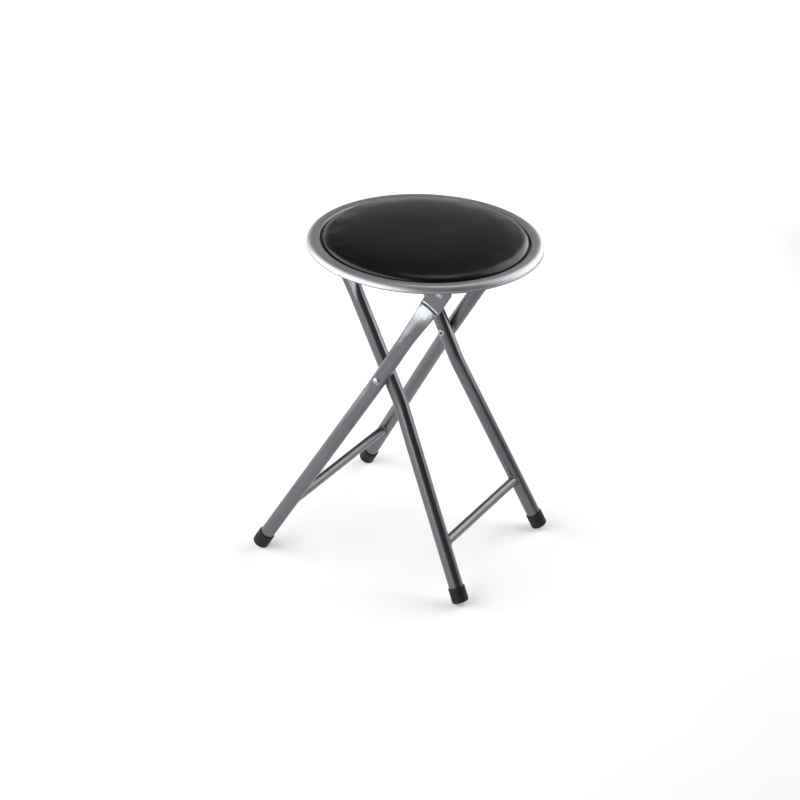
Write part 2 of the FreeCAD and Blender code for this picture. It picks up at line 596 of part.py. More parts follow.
def pad_profile(inset):
    """Corners of the pad's section, inset from its outer skin: tuck, side, shoulder and crown."""
    pad_radius = RIM_INNER_RADIUS - PAD_GAP
    bottom = PAN_SHEET
    top = RIM_HEIGHT + PAD_RISE
    shoulder = RIM_HEIGHT + PAD_EDGE_RISE
    belly = shoulder - PAD_EDGE_RADIUS
    edge = PAD_EDGE_RADIUS - inset
    slant = math.sqrt(0.5)
    middle = pad_radius - PAD_EDGE_RADIUS
    crown_radius = (middle ** 2 + (top - shoulder) ** 2) / (2 * (top - shoulder))
    crown_drop = crown_radius - math.sqrt(crown_radius ** 2 - (middle / 2) ** 2)
    return {
        "tuck": at(pad_radius - PAD_TUCK_DRAW - inset, bottom + inset),
        "belly": at(pad_radius - inset, belly),
        "edge": at(middle + edge * slant, belly + edge * slant),
        "shoulder": at(middle, belly + edge),
        "dome": at(middle / 2, top - crown_drop - inset),
        "top": at(0, top - inset),
    }


def seat_cover():
    skin = pad_profile(0.0)
    lining = pad_profile(COVER_THICKNESS)
    tuck_end = skin["belly"].x - PAD_TUCK_DRAW - COVER_TUCK_WIDTH
    profile = face_of(
        at(tuck_end, PAN_SHEET), skin["tuck"], skin["belly"],
        (skin["edge"], skin["shoulder"]), (skin["dome"], skin["top"]), lining["top"],
        (lining["dome"], lining["shoulder"]), (lining["edge"], lining["belly"]),
        lining["tuck"], at(tuck_end, PAN_SHEET + COVER_THICKNESS))
    # The tuck is notched round any rivet or screw that comes as far out as its edge
    notches = [(place, BRACKET_RIVET_HEAD_DIAMETER / 2) for place in both_sides(bracket_rivet_places())]
    notches += [(place, SCREW_DIAMETER / 2) for place in board_screw_places() + both_sides(catch_screw_places())]
    return turned_seat(profile).cut(
        [disc_z(radius + SOFT_GAP, PAN_BOTTOM + PAN_SHEET, BOARD_BOTTOM, x, y) for (x, y), radius in notches])


def seat_foam():
    skin = pad_profile(COVER_THICKNESS + SOFT_GAP)
    bottom = PAN_SHEET + COVER_THICKNESS + BOARD_THICKNESS
    side = skin["belly"] - skin["tuck"]
    corner = skin["tuck"] + side * ((bottom - skin["tuck"].z) / side.z)
    profile = face_of(
        at(0, bottom), corner, skin["belly"],
        (skin["edge"], skin["shoulder"]), (skin["dome"], skin["top"]))
    return turned_seat(profile)


def seat_board():
    radius = RIM_INNER_RADIUS - PAD_GAP - BOARD_MARGIN
    board = disc_z(radius, BOARD_BOTTOM, BOARD_BOTTOM + BOARD_THICKNESS, SEAT_X)
    holes = [disc_z(SCREW_DIAMETER / 2, BOARD_BOTTOM, BOARD_BOTTOM + SCREW_BITE, x, y)
             for x, y in board_screw_places() + both_sides(catch_screw_places())]
    return board.cut(holes)


os.makedirs("parts", exist_ok=True)

outer_skin = frame_pieces("outer", outer, OUTER_LEAN_SIGN, OUTER_BAR_HEIGHT,
                          RIVET_DIAMETER / 2, RIVET_DIAMETER / 2)
frame_pieces("inner", inner, INNER_LEAN_SIGN, INNER_BAR_HEIGHT,
             RIVET_DIAMETER / 2 + SHAFT_GAP, ROD_TENON_DIAMETER / 2)

rivet = leg_pivot_rivet(outer_skin)
save("leg_pivot_rivets", rivet, mirrored(rivet))
spacer = leg_pivot_spacer()
save("leg_pivot_spacers", spacer, mirrored(spacer))

bracket = hinge_bracket()
save("hinge_bracket_rear", bracket)
save("hinge_bracket_front", mirrored(bracket))
save("bracket_rivets", *[bracket_rivet(x, y) for x, y in both_sides(bracket_rivet_places())])
pin = hinge_rivet()
save("seat_hinge_rivets", pin, mirrored(pin))
washer = hinge_washer()
save("seat_hinge_washers", washer, mirrored(washer))

save("catch_rod", catch_rod())
saddle = catch_saddle()
save("catch_saddle_rear", saddle)
save("catch_saddle_front", mirrored(saddle))
saddle_face = PAN_BOTTOM - CATCH_BASE_THICKNESS
save("catch_screws", *[screw(x, y, saddle_face) for x, y in both_sides(catch_screw_places())])

save("seat_pan", seat_pan())
save("seat_board", seat_board())
save("seat_foam", seat_foam())
save("seat_cover", seat_cover())
save("board_screws", *[screw(x, y, PAN_BOTTOM) for x, y in board_screw_places()])
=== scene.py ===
import bmesh
import bpy
import json
import math
import random
from mathutils import Matrix, Vector
from mathutils.bvhtree import BVHTree


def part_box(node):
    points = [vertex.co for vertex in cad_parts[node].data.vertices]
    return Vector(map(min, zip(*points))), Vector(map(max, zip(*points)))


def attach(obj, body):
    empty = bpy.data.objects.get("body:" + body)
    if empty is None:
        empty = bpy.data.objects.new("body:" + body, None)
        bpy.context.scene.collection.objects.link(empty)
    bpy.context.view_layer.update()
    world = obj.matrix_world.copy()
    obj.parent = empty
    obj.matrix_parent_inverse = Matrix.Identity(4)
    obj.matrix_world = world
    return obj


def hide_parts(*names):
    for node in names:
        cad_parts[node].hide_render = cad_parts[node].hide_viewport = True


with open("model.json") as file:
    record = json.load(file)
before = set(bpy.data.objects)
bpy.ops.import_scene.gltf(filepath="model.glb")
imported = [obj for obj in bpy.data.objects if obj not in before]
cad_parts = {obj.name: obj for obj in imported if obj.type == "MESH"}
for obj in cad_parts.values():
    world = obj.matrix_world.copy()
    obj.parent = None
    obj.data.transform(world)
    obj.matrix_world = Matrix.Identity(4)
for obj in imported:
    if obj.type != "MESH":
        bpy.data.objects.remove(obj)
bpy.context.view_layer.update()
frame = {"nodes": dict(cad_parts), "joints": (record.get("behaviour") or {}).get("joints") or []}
nodes = frame["nodes"]


# The camera stands to the right of the stool's front and looks down on it from above the seat's
# height. Its place, lens and slight roll were worked out from the seat's rim, the edges of the
# legs and the feet.
CAMERA_AZIMUTH = math.radians(29.176)
CAMERA_ELEVATION = math.radians(27.979)
CAMERA_ROLL = math.radians(2.283)
CAMERA_DISTANCE = 2.574
CAMERA_AIM = Vector((0, 0, 0.22))
PICTURE_PIXELS = 800
LENS_PIXELS = 1962.4           # the lens's length, in the picture's pixels
CENTRE_OFF_X, CENTRE_OFF_Y = 13.47, -9.85
SENSOR_MM = 36
SEES_TO = 50

back = Vector((math.sin(CAMERA_AZIMUTH) * math.cos(CAMERA_ELEVATION),
               -math.cos(CAMERA_AZIMUTH) * math.cos(CAMERA_ELEVATION), math.sin(CAMERA_ELEVATION)))
level_right = Vector((math.cos(CAMERA_AZIMUTH), math.sin(CAMERA_AZIMUTH), 0))
level_up = back.cross(level_right)
camera_right = level_right * math.cos(CAMERA_ROLL) + level_up * math.sin(CAMERA_ROLL)
camera_up = level_up * math.cos(CAMERA_ROLL) - level_right * math.sin(CAMERA_ROLL)
camera = bpy.data.objects.new("camera", bpy.data.cameras.new("camera"))
bpy.context.scene.collection.objects.link(camera)
camera.matrix_world = (Matrix.Translation(CAMERA_AIM + back * CAMERA_DISTANCE)
                       @ Matrix((camera_right, camera_up, back)).transposed().to_4x4())
camera.data.sensor_width = SENSOR_MM
camera.data.lens = SENSOR_MM * LENS_PIXELS / PICTURE_PIXELS
camera.data.shift_x = -CENTRE_OFF_X / PICTURE_PIXELS
camera.data.shift_y = CENTRE_OFF_Y / PICTURE_PIXELS
camera.data.clip_end = SEES_TO
bpy.context.scene.camera = camera


# The legs and crossbars are steel tube, bent, flattened at the top and drilled, with a silver
# powder coat: metal flake in a baked polyester film. The coat gives the eye a soft, slightly
# uneven metal sheen.
def linear(code):
    """A colour written in sRGB hex, as the linear values that Blender works in."""
    parts = [int(code[place:place + 2], 16) / 255 for place in (1, 3, 5)]
    return (*[part / 12.92 if part <= 0.04045 else ((part + 0.055) / 1.055) ** 2.4 for part in parts], 1)


def add_node(tree, kind, inputs=None, **settings):
    """Adds a node with its settings. An input is a value, or another node's output to link."""
    made = tree.nodes.new(kind)
    for name, value in settings.items():
        setattr(made, name, value)
    for name, value in (inputs or {}).items():
        if isinstance(value, bpy.types.NodeSocket):
            tree.links.new(value, made.inputs[name])
        else:
            made.inputs[name].default_value = value
    return made


def new_finish(name, **sockets):
    """A material with its shader's plain sockets set. Gives the material, its nodes, shader and place."""
    finish = bpy.data.materials.new(name)
    finish.use_nodes = True
    tree = finish.node_tree
    shader = tree.nodes["Principled BSDF"]
    for socket, value in sockets.items():
        shader.inputs[socket.replace("_", " ")].default_value = value
    place = add_node(tree, "ShaderNodeTexCoord").outputs["Object"]
    return finish, tree, shader, place


TONES_FROM, TONES_TO = 0.3, 0.7          # a noise pattern has nearly all its values between these


def two_tone(tree, shader, pattern, dark, light):
    """Colours the finish between two hex codes by a pattern."""
    ramp = add_node(tree, "ShaderNodeValToRGB", {"Fac": pattern})
    ramp.color_ramp.elements[0].position, ramp.color_ramp.elements[0].color = TONES_FROM, linear(dark)
    ramp.color_ramp.elements[1].position, ramp.color_ramp.elements[1].color = TONES_TO, linear(light)
    tree.links.new(ramp.outputs["Color"], shader.inputs["Base Color"])


def uneven_gloss(tree, shader, pattern, glossiest, dullest):
    """Lets the roughness wander between two values by a pattern."""
    span = add_node(tree, "ShaderNodeMapRange", {"Value": pattern, "To Min": glossiest, "To Max": dullest})
    tree.links.new(span.outputs["Result"], shader.inputs["Roughness"])


def relief(tree, shader, pattern, height):
    """Raises the surface by a pattern, to a height in metres."""
    bump = add_node(tree, "ShaderNodeBump", {"Height": pattern, "Distance": height, "Strength": 1.0})
    tree.links.new(bump.outputs["Normal"], shader.inputs["Normal"])


# Film ripple is really about 1 mm across; 5 mm is the finest that the picture shows
RIPPLE, RIPPLE_HEIGHT = 0.005, 0.00004
CLOUD = 0.06
COAT_METAL = 0.92
LEG_COAT = ("#696B6E", "#727477", 0.26, 0.32)


def silver_coat(name, dark, light, glossiest, dullest, metal=COAT_METAL):
    """Powder coat that wanders between two tones and two roughnesses in clouds, with a fine ripple."""
    coat, tree, shader, place = new_finish(name, Metallic=metal)
    cloud = add_node(tree, "ShaderNodeTexNoise", {"Vector": place, "Scale": 1 / CLOUD, "Detail": 5.0})
    ripple = add_node(tree, "ShaderNodeTexNoise", {"Vector": place, "Scale": 1 / RIPPLE, "Detail": 2.0})
    two_tone(tree, shader, cloud.outputs["Fac"], dark, light)
    uneven_gloss(tree, shader, cloud.outputs["Fac"], glossiest, dullest)
    relief(tree, shader, ripple.outputs["Fac"], RIPPLE_HEIGHT)
    return coat


def dress(finish, *names):
    """Gives CAD nodes their finish."""
    for name in names:
        for material_slot in nodes[name].material_slots:
            material_slot.material = finish


leg_coat = silver_coat("silver powder coat on tube", *LEG_COAT)
dress(leg_coat, "outer_leg_front", "outer_leg_rear", "outer_crossbar",
      "inner_leg_front", "inner_leg_rear", "inner_crossbar")


# Each crossbar is coped to its legs and welded all round. The bead is a low ring with the even
# ripples of a hand weld, under the same silver coat.
BEAD_RADIUS, BEAD_SIDES, BEAD_STEPS = 0.0017, 10, 132
BEAD_RIPPLES, BEAD_SWELL = 22, 0.16      # ripples round the bar, and the share by which each swells
INSIDE_BAR = 0.999             # the search for the leg starts at this share of the bar's radius


def finish_piece(name, shape, finish, body):
    """Makes a piece of a bmesh, with its finish, and lets it ride on a body."""
    mesh = bpy.data.meshes.new(name)
    shape.to_mesh(mesh)
    shape.free()
    mesh.shade_smooth()
    mesh.materials.append(finish)
    piece = bpy.data.objects.new(name, mesh)
    bpy.context.scene.collection.objects.link(piece)
    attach(piece, body)
    return piece


def weld_bead(name, bar, leg, body, side):
    """A ring round the bar, each place of it moved out to where the bar meets the leg."""
    low, high = (Vector(corner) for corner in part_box(bar))
    middle = (low + high) / 2
    bar_radius = (high.z - low.z) / 2
    skin = BVHTree.FromObject(nodes[leg], bpy.context.evaluated_depsgraph_get())
    bead = bmesh.new()
    bmesh.ops.create_circle(bead, segments=BEAD_SIDES, radius=BEAD_RADIUS,
                            matrix=Matrix.Translation((bar_radius, 0, 0)))
    bmesh.ops.spin(bead, geom=bead.verts[:] + bead.edges[:], cent=(0, 0, 0), axis=(0, 1, 0),
                   angle=math.tau, steps=BEAD_STEPS, use_merge=True)
    bmesh.ops.remove_doubles(bead, verts=bead.verts[:], dist=1e-6)
    for vert in bead.verts:
        turn = math.atan2(vert.co.z, vert.co.x)
        on_bar = Vector((math.cos(turn), 0, math.sin(turn))) * bar_radius
        vert.co = on_bar + (vert.co - on_bar) * (1 + BEAD_SWELL * math.cos(turn * BEAD_RIPPLES))
        start = Vector((middle.x, 0, middle.z)) + on_bar * INSIDE_BAR
        hit = skin.ray_cast(start, Vector((0, side, 0)))[0]
        vert.co += Vector((middle.x, hit.y, middle.z))
    bmesh.ops.recalc_face_normals(bead, faces=bead.faces[:])
    finish_piece(name, bead, leg_coat, body)


for frame_name in ("outer", "inner"):
    for end, side in (("front", -1), ("rear", 1)):
        weld_bead(f"{frame_name}_weld_{end}", f"{frame_name}_crossbar", f"{frame_name}_leg_{end}",
                  f"{frame_name}_frame", side)


# The press that flattens the outer legs' ends leaves a lip, and below it a full slope where the
# tube swells out of the flat. It is a fuller skin over the plain leg. Its coat is painted lighter
# and less metallic just down from the lip: a painted highlight where the slope catches the light.
joint_places = {joint["name"]: Vector(joint["pos_m"]) for joint in frame["joints"]}
HINGE, CROSSING = joint_places["seat_flip"], joint_places["leg_fold"]
DOWN_LEG = (CROSSING - HINGE).normalized()
FLAT_LENGTH = 0.025            # from the hinge down to the flattening's edge
# Ways down the leg from that edge: a place on the flat, and where the fold starts, fades and ends
ON_FLAT, SLOPE_START, SLOPE_FADE, SLOPE_END = -0.006, -0.0040, 0.028, 0.052
# The slope's height above the flat, at places down from its start
SLOPE = ((0.0, 0.0), (0.0017, 0.0009), (0.0028, 0.0031), (0.0074, 0.0051), (0.0160, 0.0084),
         (0.0250, 0.0104), (0.0370, 0.0127), (0.0600, 0.0172))
ROUNDING = 0.0003
BOW = 0.0016                   # the lip's ends lie this much further down the leg than its middle
# The sheet's wall, how far it stands off the leg, and how far its border dips into the leg
SKIN, PROUD, SUNK = 0.0009, 0.00012, 0.0003
FOLD_ROWS, FOLD_COLUMNS = 96, 40
LIP_CROWDING = 1.5             # the rows lie closer together at the lip
SWELL_POWER, SINK_POWER = 5, 8           # how late the swell falls off, and the skin sinks, at its sides
WIDEST, EDGE_STEP, EDGE_MARGIN = 0.0135, 0.0001, 0.0002
PROBE = 0.2
# The painted highlight is full down to the first of these ways below the flattening's edge, gone by the
# second, and leaves the coat this metallic where it is full
HIGHLIGHT_FROM, HIGHLIGHT_TO, HIGHLIGHT_METAL = 0.006, 0.024, 0.62


def paint_light_or_shade(coat, share, colour):
    """Mixes a painted colour into a coat's own, by a share from 0 to 1: a painted highlight or painted shade.
    """
    tree = coat.node_tree
    shader = tree.nodes["Principled BSDF"]
    own = shader.inputs["Base Color"].links[0].from_socket
    mixed = add_node(tree, "ShaderNodeMix", {"Factor": share, "A": own, "B": linear(colour)},
                     data_type="RGBA")
    tree.links.new(mixed.outputs["Result"], shader.inputs["Base Color"])


# This coat carries a painted highlight just below the lip
press_coat_with_painted_highlight = silver_coat("silver powder coat rubbed by the press", *LEG_COAT)
tree = press_coat_with_painted_highlight.node_tree
place = add_node(tree, "ShaderNodeTexCoord").outputs["Object"]
from_hinge = add_node(tree, "ShaderNodeVectorMath", {0: place, 1: HINGE}, operation="SUBTRACT")
down_leg = add_node(tree, "ShaderNodeVectorMath", {0: from_hinge.outputs["Vector"], 1: DOWN_LEG},
                    operation="DOT_PRODUCT")
# Painted highlight: the coat is painted lighter just below the lip and fades back to the tube's coat further
# down the leg
painted_highlight = add_node(tree, "ShaderNodeMapRange",
                  {"Value": down_leg.outputs["Value"], "From Min": FLAT_LENGTH + HIGHLIGHT_FROM,
                   "From Max": FLAT_LENGTH + HIGHLIGHT_TO, "To Min": 1.0, "To Max": 0.0},
                  interpolation_type="SMOOTHSTEP")
paint_light_or_shade(press_coat_with_painted_highlight, painted_highlight.outputs["Result"], "#A2A4A8")
# Where the highlight is painted, the coat is also made less metallic, so that it shows lighter
painted_highlight_metallic = add_node(tree, "ShaderNodeMapRange",
                  {"Value": painted_highlight.outputs["Result"], "To Min": COAT_METAL, "To Max": HIGHLIGHT_METAL})
tree.links.new(painted_highlight_metallic.outputs["Result"], tree.nodes["Principled BSDF"].inputs["Metallic"])


def smooth_step(low, high, value):
    """Rises smoothly from 0 at low to 1 at high."""
    share = max(0.0, min(1.0, (value - low) / (high - low)))
    return share * share * (3 - 2 * share)


def slope_height(run):
    """The slope's height, its corners rounded by an average over a short way."""
    heights = []
    for shift in (-1, -0.5, 0, 0.5, 1):
        at = max(0.0, run + shift * ROUNDING)
        (start, low), (end, high) = next(pair for pair in zip(SLOPE, SLOPE[1:]) if at <= pair[1][0])
        heights.append(low + (high - low) * (at - start) / (end - start))
    return sum(heights) / len(heights)


def press_fold(name, leg, body, side):
    """A sheet laid on the leg with the slope's fullness, and given a wall on its inside."""
    skin = BVHTree.FromObject(nodes[leg], bpy.context.evaluated_depsgraph_get())
    across = Vector((-DOWN_LEG.z, 0, DOWN_LEG.x))
    outward = Vector((0, side, 0))

    def place_on_leg(way, wide):
        return HINGE + DOWN_LEG * (FLAT_LENGTH + way) + across * wide

    def leg_height(way, wide):
        hit = skin.ray_cast(place_on_leg(way, wide) + outward * PROBE, -outward)[0]
        return None if hit is None else hit.y * side

    flat = leg_height(ON_FLAT, 0.0)
    rows = []
    for row in range(FOLD_ROWS + 1):
        way = SLOPE_START + (SLOPE_END - SLOPE_START) * (row / FOLD_ROWS) ** LIP_CROWDING
        half_width = WIDEST
        while leg_height(way, half_width) is None or leg_height(way, -half_width) is None:
            half_width -= EDGE_STEP
        rows.append((way, half_width - EDGE_MARGIN, leg_height(way, 0.0) - flat))

    fold = bmesh.new()
    bmesh.ops.create_grid(fold, x_segments=FOLD_COLUMNS, y_segments=FOLD_ROWS, size=1)
    for vert in fold.verts:
        share, row = vert.co.x, round((vert.co.y + 1) / 2 * FOLD_ROWS)
        way, half_width, middle = rows[row]
        swell = max(0.0, slope_height(way - SLOPE_START - BOW * share ** 2) - middle)
        swell *= (1 - abs(share) ** SWELL_POWER) * (1 - smooth_step(SLOPE_FADE, SLOPE_END, way))
        height = leg_height(way, share * half_width) + swell
        height += -SUNK if row in (0, FOLD_ROWS) else PROUD - (PROUD + SUNK) * abs(share) ** SINK_POWER
        vert.co = place_on_leg(way, share * half_width) + outward * height
    inside = bmesh.ops.duplicate(fold, geom=fold.verts[:] + fold.edges[:] + fold.faces[:])["geom"]
    bmesh.ops.translate(fold, verts=[part for part in inside if isinstance(part, bmesh.types.BMVert)],
                        vec=outward * -SKIN)
    bmesh.ops.bridge_loops(fold, edges=[edge for edge in fold.edges if edge.is_boundary])
    bmesh.ops.recalc_face_normals(fold, faces=fold.faces[:])
    finish_piece(name, fold, press_coat_with_painted_highlight, body)


for end, side in (("front", -1), ("rear", 1)):
    press_fold(f"outer_press_fold_{end}", f"outer_leg_{end}", "outer_frame", side)


# The foot caps are moulded rubber cups, pushed over the tube's ends: black and dull, with the
# faint grain of a blasted mould.
MOULD_GRAIN, MOULD_RELIEF = 0.003, 0.00008
rubber, tree, shader, place = new_finish("moulded black rubber", Specular_IOR_Level=0.35)
mould_grain = add_node(tree, "ShaderNodeTexNoise", {"Vector": place, "Scale": 1 / MOULD_GRAIN, "Detail": 4.0})
two_tone(tree, shader, mould_grain.outputs["Fac"], "#0A0A0B", "#121213")
uneven_gloss(tree, shader, mould_grain.outputs["Fac"], 0.5, 0.66)
relief(tree, shader, mould_grain.outputs["Fac"], MOULD_RELIEF)
dress(rubber, "outer_foot_cap_front", "outer_foot_cap_rear", "inner_foot_cap_front", "inner_foot_cap_rear")


# Rivets, spacers, washers, screws and the catch rod are mild steel with bright zinc plate, which
# is silvery with a faint blue cast and clouds where it was handled.
STAIN = 0.012
zinc, tree, shader, place = new_finish("bright zinc plate", Metallic=1.0)
stain = add_node(tree, "ShaderNodeTexNoise", {"Vector": place, "Scale": 1 / STAIN, "Detail": 6.0})
two_tone(tree, shader, stain.outputs["Fac"], "#8F9398", "#B4B8BC")
uneven_gloss(tree, shader, stain.outputs["Fac"], 0.2, 0.36)
dress(zinc, "leg_pivot_rivets", "leg_pivot_spacers", "seat_hinge_rivets", "seat_hinge_washers",
      "bracket_rivets", "catch_rod", "board_screws", "catch_screws")


# The hinge brackets are folded from steel sheet and riveted under the pan, and carry the seat on
# the outer legs. They have the frame's silver coat, which looks a little duller on flat sheet.
bracket_coat = silver_coat("silver powder coat on folded sheet", "#66686A", "#707274", 0.3, 0.4)
dress(bracket_coat, "hinge_bracket_front", "hinge_bracket_rear")


# The catch saddles are hooks of moulded black nylon, screwed under the pan, that drop over the rod
# between the inner legs. A polished mould leaves them satin.
FLOW = 0.008
nylon, tree, shader, place = new_finish("moulded black nylon", Specular_IOR_Level=0.5)
flow = add_node(tree, "ShaderNodeTexNoise", {"Vector": place, "Scale": 1 / FLOW, "Detail": 3.0})
two_tone(tree, shader, flow.outputs["Fac"], "#101011", "#18181A")
uneven_gloss(tree, shader, flow.outputs["Fac"], 0.34, 0.46)
dress(nylon, "catch_saddle_front", "catch_saddle_rear")


# The seat pan is one pressing of steel sheet, with a rolled rim and its edge folded up inside. Its
# silver coat is paler and duller than on the tubes. Along the hem, where the rim turns under, a
# dark band is painted into the coat: painted shade on the rolled edge.
pan_low, pan_high = (Vector(corner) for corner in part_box("seat_pan"))
# The painted shade on the hem is full below the first height and gone above the second
HEM_SHADE_FROM, HEM_SHADE_TO = 0.0006, 0.0013        # heights above the pan's lowest, between which the dark ends
PAN_METAL = 0.76
rim_coat = silver_coat("silver powder coat on pressed sheet", "#A8AAAD", "#B1B3B6", 0.40, 0.46,
                       metal=PAN_METAL)
tree = rim_coat.node_tree
place = add_node(tree, "ShaderNodeTexCoord").outputs["Object"]
above_floor = add_node(tree, "ShaderNodeSeparateXYZ", {"Vector": place}).outputs["Z"]
# Painted shade: the rim's coat is darkened towards its lower edge, where it turns under
painted_hem_shade = add_node(tree, "ShaderNodeMapRange",
               {"Value": above_floor, "From Min": pan_low.z + HEM_SHADE_FROM, "From Max": pan_low.z + HEM_SHADE_TO,
                "To Min": 1.0, "To Max": 0.0}, interpolation_type="SMOOTHSTEP")
paint_light_or_shade(rim_coat, painted_hem_shade.outputs["Result"], "#3C3D3F")
dress(rim_coat, "seat_pan")


# The seat board is a disc of bare birch plywood, pale with a straight grain, and screwed down in
# the pan. The pad covers it.
GRAIN, GRAIN_SQUEEZE = 1 / 18, (1.0, 12.0, 40.0)   # 56 mm long, 5 mm wide and 1.4 mm thick
plywood, tree, shader, place = new_finish("bare birch plywood")
stretched = add_node(tree, "ShaderNodeMapping", {"Vector": place, "Scale": GRAIN_SQUEEZE})
grain = add_node(tree, "ShaderNodeTexNoise",
                 {"Vector": stretched.outputs["Vector"], "Scale": 1 / GRAIN, "Detail": 6.0})
two_tone(tree, shader, grain.outputs["Fac"], "#A98457", "#D0AE7E")
uneven_gloss(tree, shader, grain.outputs["Fac"], 0.6, 0.75)
dress(plywood, "seat_board")


# The pad is foam on the board under black vinyl, drawn down over the board's edge and stapled
# beneath. The vinyl is smooth with a soft gloss, a little uneven over the foam, and puckered
# where it is drawn in. It is a closed skin that the board sits in.
cover_low, cover_high = (Vector(corner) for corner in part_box("seat_cover"))
SEAT_MIDDLE = Vector(((pan_low.x + pan_high.x) / 2, 0, 0))
PAD_RADIUS = (cover_high.x - cover_low.x) / 2
OFF_PAN = 0.0002
PAD_LOW, PAD_TOP = cover_low.z + OFF_PAN, cover_high.z
CREST = pan_high.z
CROWN_POWER, CROWN_STEPS = 3, 32         # a foam pad is flat in the middle and falls off at its edge
SHOULDER_RISE, SHOULDER_WIDTH, SHOULDER_DROP, SHOULDER_STEPS = 0.0058, 0.013, 0.0074, 12
DRAWN_IN, TURNED_UNDER = 0.0022, 0.001
# How far the skin starts inside its blown-up shape, and how far it may move
SLACK, MOST_BLOWN = 0.0005, 0.001
HELD_BELOW = 0.004                       # under the rim's crest the skin is held by the pan
BLOW_FRAMES = 20
PAD_CUTS = 47
EVENINGS = 14
# A furrow's strength, its reach inwards in metres and its half width in radians are each drawn
PUCKERS, PUCKER_DEPTH, PUCKER_STRAY = 46, 0.00022, 0.35
PUCKER_STRENGTHS, PUCKER_REACHES, PUCKER_TURNS = (0.1, 1.0), (0.012, 0.032), (0.018, 0.034)
PUCKERED_FROM, PUCKER_END = 0.6, 3       # share of the radius, and widths from a furrow's middle
random.seed(7)


def pad_outline():
    """Points of the pad's section from its top to the middle of its underside: radius and height."""
    shoulder_in = PAD_RADIUS - SLACK - SHOULDER_WIDTH
    shoulder_z = CREST + SHOULDER_RISE - SLACK
    crown = PAD_TOP - SLACK - shoulder_z
    points = []
    for step in range(CROWN_STEPS + 1):
        out = step / CROWN_STEPS
        points.append((shoulder_in * out, PAD_TOP - SLACK - crown * out ** CROWN_POWER))
    # The crown ends where the shoulder starts, so the shoulder's first two steps are left out
    for step in range(2, SHOULDER_STEPS + 1):
        turn = math.pi / 2 * step / SHOULDER_STEPS
        points.append((shoulder_in + SHOULDER_WIDTH * math.sin(turn),
                       shoulder_z - SHOULDER_DROP * (1 - math.cos(turn))))
    points += [(PAD_RADIUS - SLACK - DRAWN_IN, PAD_LOW + TURNED_UNDER),
               (PAD_RADIUS - SLACK - DRAWN_IN - TURNED_UNDER, PAD_LOW), (0.0, PAD_LOW)]
    return points


def along(points, share):
    """The point at a share of the way along an outline."""
    lengths = [math.dist(a, b) for a, b in zip(points, points[1:])]
    left = share * sum(lengths)
    for (a, b), length in zip(zip(points, points[1:]), lengths):
        if left <= length:
            mix = left / length
            return a[0] + (b[0] - a[0]) * mix, a[1] + (b[1] - a[1]) * mix
        left -= length
    return points[-1]


def pad_blank():
    """A ball of even squares pressed into the pad's section."""
    outline = pad_outline()
    blank = bmesh.new()
    bmesh.ops.create_cube(blank, size=2)
    bmesh.ops.subdivide_edges(blank, edges=blank.edges[:], cuts=PAD_CUTS, use_grid_fill=True)
    for vert in blank.verts:
        round_place = Vector([math.tan(value * math.pi / 4) for value in vert.co]).normalized()
        radius, height = along(outline, math.acos(max(-1, min(1, round_place.z))) / math.pi)
        flat = Vector((round_place.x, round_place.y, 0))
        flat = flat.normalized() * radius if flat.length > 1e-9 else flat
        vert.co = SEAT_MIDDLE + flat + Vector((0, 0, height))
    return blank


# Pressed leather grain is about 0.8 mm; 2.5 mm is the finest that the picture shows
PEBBLE, PEBBLE_RELIEF = 0.0025, 0.00005
SAG = 0.05
vinyl, tree, shader, place = new_finish("soft-gloss black vinyl", Specular_IOR_Level=0.32)
pebble = add_node(tree, "ShaderNodeTexVoronoi", {"Vector": place, "Scale": 1 / PEBBLE}, feature="SMOOTH_F1")
sag = add_node(tree, "ShaderNodeTexNoise", {"Vector": place, "Scale": 1 / SAG, "Detail": 3.0})
two_tone(tree, shader, sag.outputs["Fac"], "#0B0A0C", "#121113")
uneven_gloss(tree, shader, sag.outputs["Fac"], 0.26, 0.36)
relief(tree, shader, pebble.outputs["Distance"], PEBBLE_RELIEF)

pad = finish_piece("seat_pad", pad_blank(), vinyl, "seat")


def blow_up(piece):
    """Blows a skin up as the foam fills it, its underside held, and limits and evens its moves."""
    before = [vert.co.copy() for vert in piece.data.vertices]
    held = piece.vertex_groups.new(name="held")
    held.add([vert.index for vert in piece.data.vertices if vert.co.z < CREST - HELD_BELOW], 1.0,
             "REPLACE")
    cloth = piece.modifiers.new("foam", "CLOTH")
    cloth.settings.vertex_group_mass = "held"
    cloth.settings.use_pressure = True
    cloth.settings.uniform_pressure_force = 4
    cloth.settings.effector_weights.gravity = 0
    cloth.settings.quality = 6
    cloth.settings.tension_stiffness = 25
    cloth.settings.bending_stiffness = 2
    for number in range(1, BLOW_FRAMES + 1):
        bpy.context.scene.frame_set(number)
    filled = bpy.data.meshes.new_from_object(piece.evaluated_get(bpy.context.evaluated_depsgraph_get()))
    moves = []
    for vert, start in zip(filled.vertices, before):
        move = vert.co - start
        moves.append(move.normalized() * MOST_BLOWN if move.length > MOST_BLOWN else move)
    # Thick vinyl over foam doesn't crease: what the blow-up creased is evened out
    ends = [tuple(edge.vertices) for edge in piece.data.edges]
    shares = [1] * len(moves)
    for first, second in ends:
        shares[first] += 1
        shares[second] += 1
    for _ in range(EVENINGS):
        evened = [move.copy() for move in moves]
        for first, second in ends:
            evened[first] += moves[second]
            evened[second] += moves[first]
        moves = [move / share for move, share in zip(evened, shares)]
    for vert, start, move in zip(piece.data.vertices, before, moves):
        vert.co = start + move
    piece.modifiers.remove(cloth)
    piece.vertex_groups.remove(held)
    bpy.data.meshes.remove(filled)
    bpy.context.scene.frame_set(1)


blow_up(pad)

